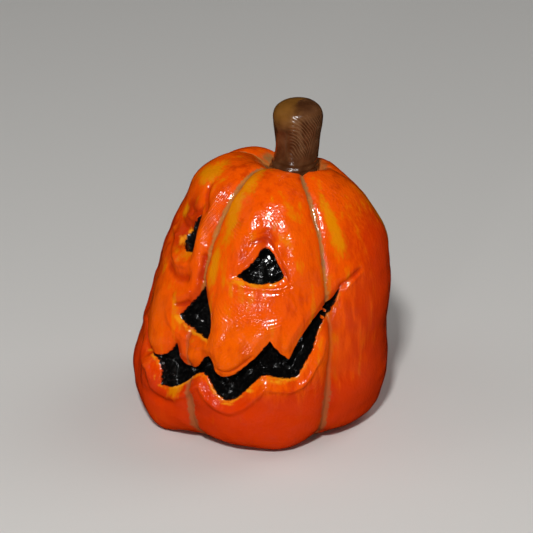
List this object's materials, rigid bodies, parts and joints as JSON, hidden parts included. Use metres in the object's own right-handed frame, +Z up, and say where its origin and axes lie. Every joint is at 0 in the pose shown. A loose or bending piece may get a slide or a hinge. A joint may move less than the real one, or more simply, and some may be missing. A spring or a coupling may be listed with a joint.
{
  "type": "clay pumpkin lantern figurine",
  "caption": "Small solid clay pumpkin lantern: rounded lobes, a carved grinning face of shallow recesses and a short stalk, standing on a flat underside.",
  "frame": {"origin": "middle of the footprint, on the surface the figurine stands on", "axes": "+Z up; the middle of the carved face looks along -Y, and its left eye is on the +X side"},
  "size_m": [0.0388, 0.0388, 0.0494],
  "materials": {
    "painted_clay": "varnished hand-painted polymer clay, orange with black recesses",
    "stalk_clay": "varnished brown polymer clay with finger marks"
  },
  "bodies": {
    "root": {"body": "painted_clay", "stalk": "stalk_clay"}
  },
  "joints": []
}
